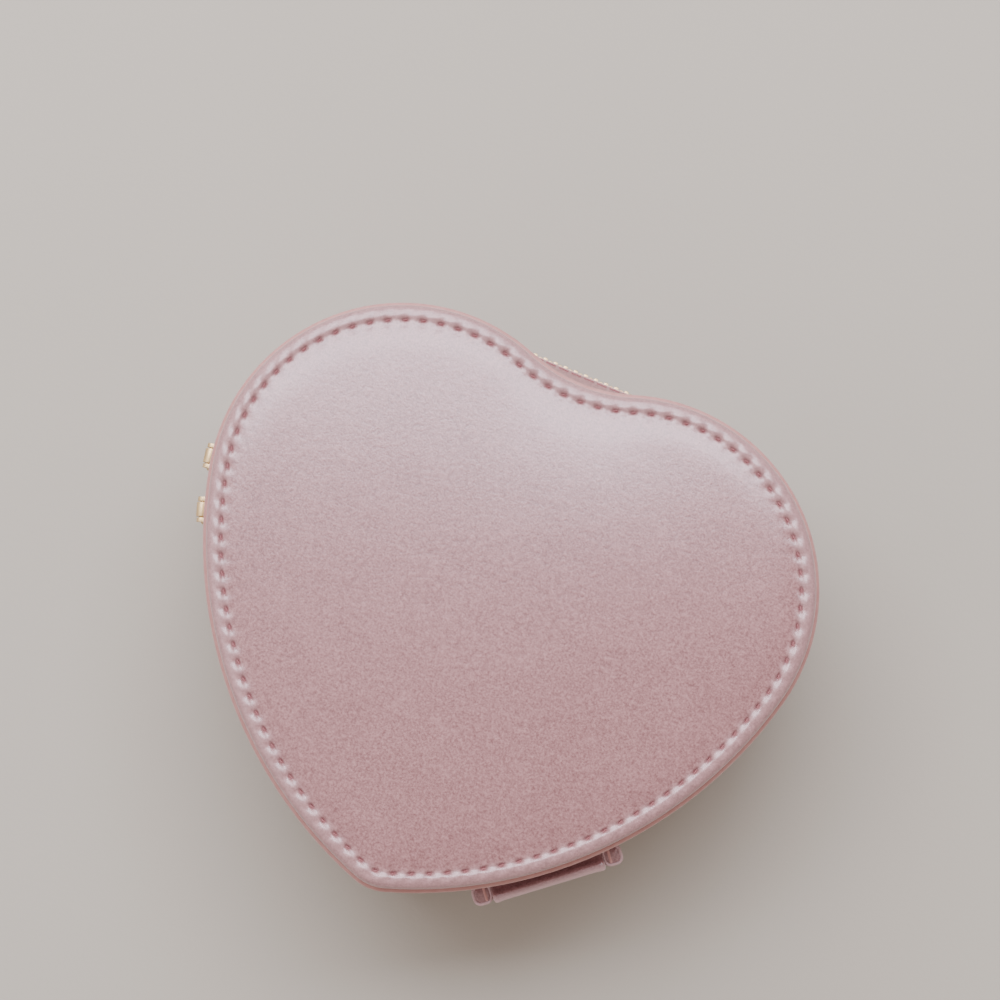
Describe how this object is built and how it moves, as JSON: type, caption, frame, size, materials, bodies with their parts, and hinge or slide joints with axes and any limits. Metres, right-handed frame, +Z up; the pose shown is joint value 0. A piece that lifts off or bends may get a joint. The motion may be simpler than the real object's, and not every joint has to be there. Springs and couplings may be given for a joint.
{
  "type": "jewelry box",
  "caption": "Heart-shaped zip-round jewelry case with a padded stitched lid, mirror inside, cloth hinge, ring rolls and lined compartments.",
  "frame": {"origin": "middle of the heart's length and width on the flat resting face", "axes": "+Z up out of the resting face towards the lid's crown, +Y from the heart's point to its notch, +X across the lobes"},
  "size_m": [0.1208, 0.1064, 0.0525],
  "materials": {
    "case_velvet": "short satin-backed velvet, dusty pink",
    "case_piping": "satin piping, darker dusty pink",
    "stitch_thread": "polyester sewing thread",
    "board": "grey bookbinding board, hidden",
    "padding": "soft foam, hidden",
    "lining_velvet": "short pile velvet",
    "zip_tape": "twill zip tape",
    "zip_metal": "polished pale gold plate",
    "mirror_glass": "silvered glass",
    "mirror_rim": "brushed pale gold"
  },
  "bodies": {
    "base": {"base_bottom_cover": "case_velvet", "base_bottom_pad": "padding", "base_bottom_board": "board", "base_piping": "case_piping", "base_wall_board": "board", "base_wall_cover": "case_velvet", "base_wall_lining": "lining_velvet", "base_floor_pad": "lining_velvet", "cross_divider": "lining_velvet", "centre_divider": "lining_velvet", "side_divider_left": "lining_velvet", "side_divider_right": "lining_velvet", "ring_roll_1": "lining_velvet", "ring_roll_2": "lining_velvet", "ring_roll_3": "lining_velvet", "ring_roll_4": "lining_velvet", "ring_roll_5": "lining_velvet", "base_zip_tape": "zip_tape", "base_zip_teeth": "zip_metal", "base_zip_end_tabs": "case_velvet", "hinge_strap": "case_velvet", "hinge_lining": "lining_velvet"},
    "lid": {"lid_zip_tape": "zip_tape", "lid_zip_teeth": "zip_metal", "lid_zip_end_tabs": "case_velvet", "lid_wall_board": "board", "lid_wall_cover": "case_velvet", "lid_wall_lining": "lining_velvet", "lid_top_board": "board", "lid_piping": "case_piping", "lid_top_cover": "case_velvet", "lid_foam_pad": "padding", "lid_stitching": "stitch_thread", "lid_top_lining": "lining_velvet", "mirror_glass": "mirror_glass", "mirror_rim": "mirror_rim"},
    "slider_lower": {"slider_lower": "zip_metal"},
    "slider_upper": {"slider_upper": "zip_metal"},
    "pull_lower": {"pull_lower": "zip_metal"},
    "pull_upper": {"pull_upper": "zip_metal"}
  },
  "joints": [
    {"name": "lid_hinge", "type": "hinge", "parent": "base", "child": "lid", "pos_m": [0.03142, -0.04004, 0.033], "axis": [0.7716, 0.6361, 0], "range_deg": [0, 170], "deforming": ["hinge_strap", "hinge_lining"]},
    {"name": "slider_lower_travel", "type": "hinge", "parent": "base", "child": "slider_lower", "pos_m": [0.02417, 0.0274, 0.033], "axis": [0, 0, 1], "range_deg": [0, 49]},
    {"name": "slider_upper_travel", "type": "hinge", "parent": "base", "child": "slider_upper", "pos_m": [-0.0226, 0.0166, 0.033], "axis": [0, 0, -1], "range_deg": [0, 97]},
    {"name": "pull_lower_swing", "type": "hinge", "parent": "slider_lower", "child": "pull_lower", "pos_m": [-0.05758, 0.0002, 0.033], "axis": [-0.3156, 0.9489, 0], "range_deg": [0, 170]},
    {"name": "pull_upper_swing", "type": "hinge", "parent": "slider_upper", "child": "pull_upper", "pos_m": [-0.06022, 0.01024, 0.033], "axis": [-0.1668, 0.986, 0], "range_deg": [0, 170]}
  ]
}
